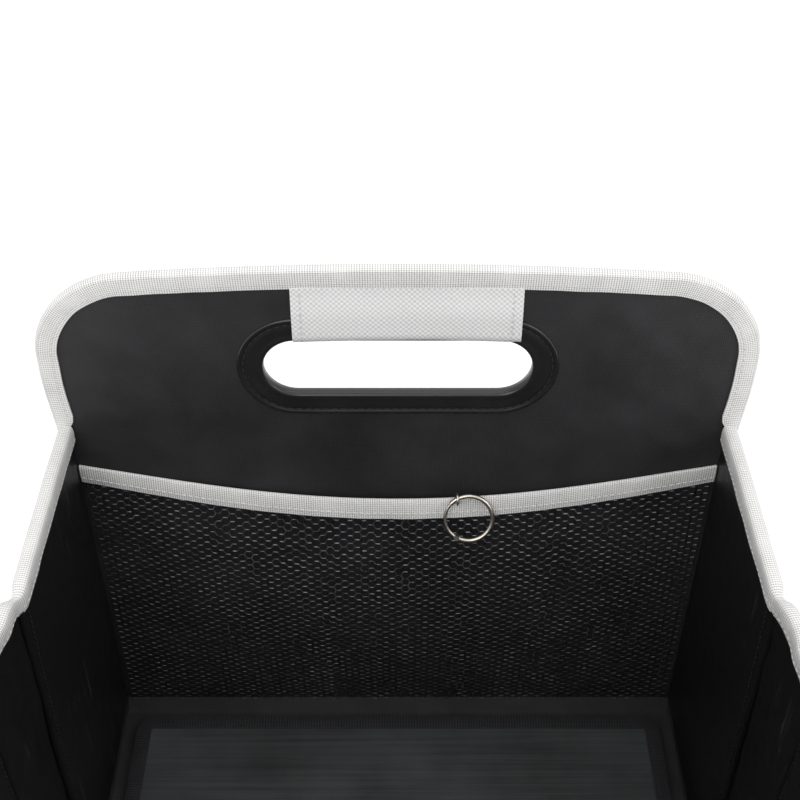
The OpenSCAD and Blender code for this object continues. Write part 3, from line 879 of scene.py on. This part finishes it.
for s in sides:
    for k in range(4):
        stops = [(cuts[k], cuts[k + 1])]
        if s == "right" and k == 3:
            stops = [(cuts[3], -hingeY + 0.0008), (-hingeY - 0.0008, cuts[4])]
        for part, (y0, y1) in enumerate(stops):
            tag = f"{s}_{k}" + ("" if len(stops) == 1 else "ab"[part])
            cloth = wallCloth(f"wall_cloth_{tag}", s, y0, y1)
            tape, seams = sideTape(f"side_tape_{tag}", s, y0, y1)
            if len(stops) == 1:
                putAcross(cloth, liningCloth, s, k, wallNodes[k])
                putAcross(tape, greyTape, s, k, tapeNodes[k])
                for seam in seams:
                    putAcross(seam, greyThread, s, k)
            else:
                body = [f"wing_front_{s}", "front_end"][part]
                finishPiece(cloth, liningCloth, body, [wallNodes[3][part].format(s)])
                covered = [tapeNodes[3][0].format(s)] if part == 0 else []
                finishPiece(tape, greyTape, body, covered)
                for seam in seams:
                    finishPiece(seam, greyThread, body)
    for k, front in ((1, False), (2, True)):
        ridge, stitches = foldRidge(f"fold_ridge_{s}_{'front' if front else 'back'}", s, front)
        putAcross(ridge, liningCloth, s, k)
        putAcross(stitches, blackThread, s, k)
print("side walls ready")


floorShape = {"thick": 0.0012, "rows": 64, "columns": 40, "rim": 0.0038, "crumple": 0.0008, "most": 0.00015}


def floorCloth():
    f, (lo, hi) = floorShape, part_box("floor_fabric")
    lip = rimTop - 0.0002
    outer = [(lo[0], lip), (lo[0], 0.0), (0, 0.0), (hi[0], 0.0), (hi[0], lip), (hi[0] - f["rim"], lip)]
    rows = []
    for i in range(f["rows"] + 1):
        y = lo[1] + (hi[1] - lo[1]) * i / f["rows"]
        row = [(x, y, z) for x, z in outer]
        for k in range(f["columns"] + 1):
            x = hi[0] - 0.004 - (hi[0] - lo[0] - 0.008) * k / f["columns"]
            soft = f["crumple"] * abs(wave(x, y, 0, 0.018, 81)) * smooth(0, 0.01, hi[0] - abs(x))
            inRim = min(y - lo[1], hi[1] - y) < 0.0045
            row.append((x, y, lip if inRim else f["thick"] + min(f["most"], soft)))
        rows.append(row + [(lo[0] + f["rim"], y, lip)])
    return crease(skin("floor_cloth", rows, ring=True, caps=True), 50)


padShape = {"corner": 0.010, "tape": 0.0088, "seamOff": 0.0024, "step": 0.003}


# The board's rounded outline
def padRing():
    lo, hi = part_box("base_board_binding")
    hx, hy, cy = (hi[0] - lo[0]) / 2, (hi[1] - lo[1]) / 2, (hi[1] + lo[1]) / 2
    r = padShape["corner"]
    line = []
    for q, (sx, sy) in enumerate(((1, 1), (-1, 1), (-1, -1), (1, -1))):
        for k in range(9):
            a = math.radians(90 * q + 90 * k / 8)
            line.append((sx * (hx - r) + r * math.cos(a), cy + sy * (hy - r) + r * math.sin(a), 0))
    return [tuple(p)[:2] for p in resample(line + [line[0]], padShape["step"])][:-1]


def padCover():
    lo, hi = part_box("base_board_cover")
    nx, ny = 96, 80
    zs = (lo[2] + 0.0001, hi[2] - 0.0001)
    cy, hx, hy = (lo[1] + hi[1]) / 2, (hi[0] - lo[0]) / 2 - 0.0008, (hi[1] - lo[1]) / 2 - 0.0008
    points, faces = [], []

    def at(i, j, top):
        x, y = hx * (2 * i / nx - 1), hy * (2 * j / ny - 1)
        r = padShape["corner"] - 0.001
        ox, oy = max(0, abs(x) - (hx - r)), max(0, abs(y) - (hy - r))
        d = math.hypot(ox, oy)
        if d > r:
            x = math.copysign(hx - r + ox * r / d, x)
            y = math.copysign(hy - r + oy * r / d, y)
        puff = 0.0001 * wave(x, y, 0, 0.05, 91)
        return (x, cy + y, (zs[1] + puff) if top else zs[0])

    for top in (True, False):
        for i in range(nx + 1):
            for j in range(ny + 1):
                points.append(at(i, j, top))
    size = (nx + 1) * (ny + 1)

    def cell(i, j):
        return i * (ny + 1) + j

    for i in range(nx):
        for j in range(ny):
            faces.append((cell(i, j), cell(i + 1, j), cell(i + 1, j + 1), cell(i, j + 1)))
            under = (cell(i, j), cell(i, j + 1), cell(i + 1, j + 1), cell(i + 1, j))
            faces.append(tuple(size + c for c in under))
    border = [(i, 0) for i in range(nx)] + [(nx, j) for j in range(ny)]
    border += [(i, ny) for i in range(nx, 0, -1)] + [(0, j) for j in range(ny, 0, -1)]
    for a, b in zip(border, border[1:] + border[:1]):
        faces.append((cell(*a), size + cell(*a), size + cell(*b), cell(*b)))
    return crease(meshPiece("base_board_cloth", points, faces), 40)


def padTape():
    lo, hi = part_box("base_board_binding")
    wide, seamIn = padShape["tape"], padShape["tape"] - padShape["seamOff"]
    section = [(wide, hi[2] - 0.0003), (wide * 0.8, hi[2] + 0.0001), (wide * 0.5, hi[2] + 0.0002),
               (wide * 0.2, hi[2]), (0.0004, hi[2] - 0.0006), (0.0, (lo[2] + hi[2]) / 2),
               (0.0004, lo[2] + 0.0003), (wide * 0.3, lo[2]), (wide, lo[2]), (wide, lo[2] + 0.0004),
               (0.0016, lo[2] + 0.0005), (0.0016, hi[2] - 0.0005), (wide, hi[2] - 0.0006)]
    base = padRing()
    n = len(base)
    rows = []
    for i, (x, y) in enumerate(base):
        a, b = base[i - 1], base[(i + 1) % n]
        run = Vector((b[0] - a[0], b[1] - a[1], 0)).normalized()
        inward = Vector((-run.y, run.x, 0))
        rows.append([(x + inward.x * u, y + inward.y * u, z) for u, z in section])
    tape = crease(skin("base_board_tape", rows, ring=True, loop=True), 50)
    seam = []
    for i, (x, y) in enumerate(base + base[:1]):
        a, b = base[(i - 1) % n], base[(i + 1) % n]
        run = Vector((b[0] - a[0], b[1] - a[1], 0)).normalized()
        seam.append((x - run.y * seamIn, y + run.x * seamIn, hi[2] + 0.0002))
    return tape, stitchRow("base_board_seam", seam, (0, 0, 1))


floorPiece = floorCloth()
finishPiece(floorPiece, shellCloth, replaced=["floor_fabric"],
            squashed=("side_fold", (0, 1, 0), (0, endOut, 0), 1 - foldTravel / (2 * endOut)))
finishPiece(padCover(), padCloth, "base_board", ["base_board_cover"])
tape, seam = padTape()
finishPiece(tape, blackTape, "base_board", ["base_board_binding"])
finishPiece(seam, blackThread, "base_board")
print("floor and base board ready")


pocketFoot = rimTop + 0.0002


def across(x):
    return 1 - (x / pocket["half"]) ** 2


def pocketEdge(x):
    return pocket["edge"] - pocket["sag"] * across(x)


def fullness(z):
    p = pocket
    if z < p["bellyZ"]:
        return p["belly"] * (1 - ((p["bellyZ"] - z) / (p["bellyZ"] - pocketFoot)) ** 2)
    top = p["edge"] - p["sag"]
    return p["belly"] - (p["belly"] - p["mouth"]) * ((z - p["bellyZ"]) / (top - p["bellyZ"])) ** 2


def standOff(x, z):
    return pocket["least"] + max(0, fullness(min(z, pocketEdge(x))) - pocket["least"]) * max(0, across(x))


def slack(x, z):
    edge = pocketEdge(x)
    calm = smooth(0.150, 0.125, abs(x)) * smooth(pocketFoot, pocketFoot + 0.03, z)
    calm *= smooth(edge - 0.006, edge - 0.03, z)
    return pocket["slack"] * (wave(x, 0, z, 0.035, 101) + 0.4 * wave(x, 0, z, 0.014, 107)) * calm


def pocketNet():
    p = pocket
    bm = bmesh.new()
    wide, tall = p["cellWide"], p["cellTall"]
    cols = int(2 * p["half"] / (wide * 0.75)) + 2
    spots = {}

    def corner(x, z):
        key = (round(x * 1e5), round(z * 1e5))
        if key not in spots:
            spots[key] = bm.verts.new((x, 0, z))
        return spots[key]

    ring = [(wide / 2, 0), (wide / 4, tall / 2), (-wide / 4, tall / 2),
            (-wide / 2, 0), (-wide / 4, -tall / 2), (wide / 4, -tall / 2)]
    rowsUp = int((p["edge"] - pocketFoot) / tall) + 2
    for c in range(-1, cols):
        cx = -p["half"] + c * wide * 0.75
        for r in range(-1, rowsUp):
            cz = pocketFoot + r * tall + (tall / 2 if c % 2 else 0)
            inside = pocketFoot + tall * 0.3 <= cz <= pocketEdge(cx) - p["band"] + tall * 0.6
            if abs(cx) > p["half"] - wide * 0.4 or not inside:
                continue
            bm.faces.new([corner(cx + dx, cz + dz) for dx, dz in reversed(ring)])
    for v in bm.verts:
        x, z = v.co.x, v.co.z
        v.co.y = endIn - standOff(x, z) - slack(x, z) + 0.0005
    bmesh.ops.wireframe(bm, faces=bm.faces[:], thickness=p["thread"], offset=0.0, use_replace=True,
                        use_boundary=True, use_even_offset=True)
    for face in bm.faces:
        face.smooth = True
    mesh = bpy.data.meshes.new("pocket_net")
    bm.to_mesh(mesh)
    bm.free()
    piece = bpy.data.objects.new("pocket_net", mesh)
    bpy.context.collection.objects.link(piece)
    return piece


def pocketTape():
    p = pocket
    rows, seam = [], []
    wide = p["band"]
    for i in range(p["columns"] + 1):
        x = p["half"] * (2 * i / p["columns"] - 1)
        top = pocketEdge(x)
        row = []
        ripple = 0.0003 * wave(x, 0, 0, 0.012, 111)
        for k in range(7):
            z = top - wide + (wide - 0.0008) * k / 6
            puff = 0.0003 * math.sin(math.pi * k / 6)
            row.append((x, endIn - standOff(x, z) - 0.0006 - puff - ripple, z))
        for k in range(1, 6):
            a = math.pi * k / 6
            y = endIn - standOff(x, top) + 0.0003 - 0.0009 * math.cos(a)
            row.append((x, y, top - 0.0008 + 0.0008 * math.sin(a)))
        for k in reversed(range(7)):
            z = top - wide + (wide - 0.0008) * k / 6
            row.append((x, endIn - standOff(x, z) + 0.0012, z))
        rows.append(row)
        z = top - wide + p["seamUp"]
        seam.append((x, endIn - standOff(x, z) - 0.0009 - ripple, z))
    tape = crease(skin("pocket_tape", rows, ring=True, caps=True), 50)
    return tape, stitchRow("pocket_seam", seam, (0, -1, 0.3))


netPiece = pocketNet()
finishPiece(netPiece, netCord, "back_end", ["pocket_mesh"])
tape, seam = pocketTape()
finishPiece(tape, greyTape, "back_end", ["pocket_binding"])
finishPiece(seam, greyThread, "back_end")
print("pocket ready")


def dress(nodes, mat):
    for node in nodes:
        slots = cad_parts[node].data.materials
        slots.clear()
        slots.append(mat)


dress(["ring_link", "ring_hoop", "ring_gate", "ring_pin"], nickel)
dress(["base_board_core"] + [f"{e}_board" for e in ends], board)
dress([f"{e}_wing_board_{s}" for e in ends for s in sides], board)

studio = {"floor": "#ffffff", "world": 1.0}
floorMat, floorTree, floorShader = newMaterial("studio paper white")
feed(floorTree, floorShader, {"Base Color": colour(studio["floor"]), "Roughness": 0.9})
corners = [(x * 6, y * 6, -0.0004) for x, y in ((-1, -1), (1, -1), (1, 1), (-1, 1))]
ground = meshPiece("studio_floor", corners, [(0, 1, 2, 3)])
ground.data.materials.append(floorMat)

world = bpy.data.worlds.new("studio")
bpy.context.scene.world = world
world.use_nodes = True
background = world.node_tree.nodes["Background"]
feed(world.node_tree, background, {"Color": (1, 1, 1, 1), "Strength": studio["world"]})

lamps = [
    {"name": "overhead_softbox", "place": (0.0, 0.1, 1.5), "aim": (0, 0, 0.1), "size": 1.4, "power": 6},
    {"name": "front_softbox", "place": (-0.5, -1.2, 1.1), "aim": (0, 0.1, 0.15), "size": 0.9, "power": 9},
    {"name": "right_softbox", "place": (1.1, -0.3, 0.9), "aim": (0, 0.1, 0.15), "size": 0.7, "power": 4},
]
for lamp in lamps:
    data = bpy.data.lights.new(lamp["name"], "AREA")
    data.size, data.energy = lamp["size"], lamp["power"]
    light = bpy.data.objects.new(lamp["name"], data)
    bpy.context.collection.objects.link(light)
    light.location = lamp["place"]
    light.rotation_euler = (Vector(lamp["aim"]) - Vector(lamp["place"])).to_track_quat("-Z", "Y").to_euler()
bpy.context.scene.view_settings.view_transform = "Standard"
print("studio ready")
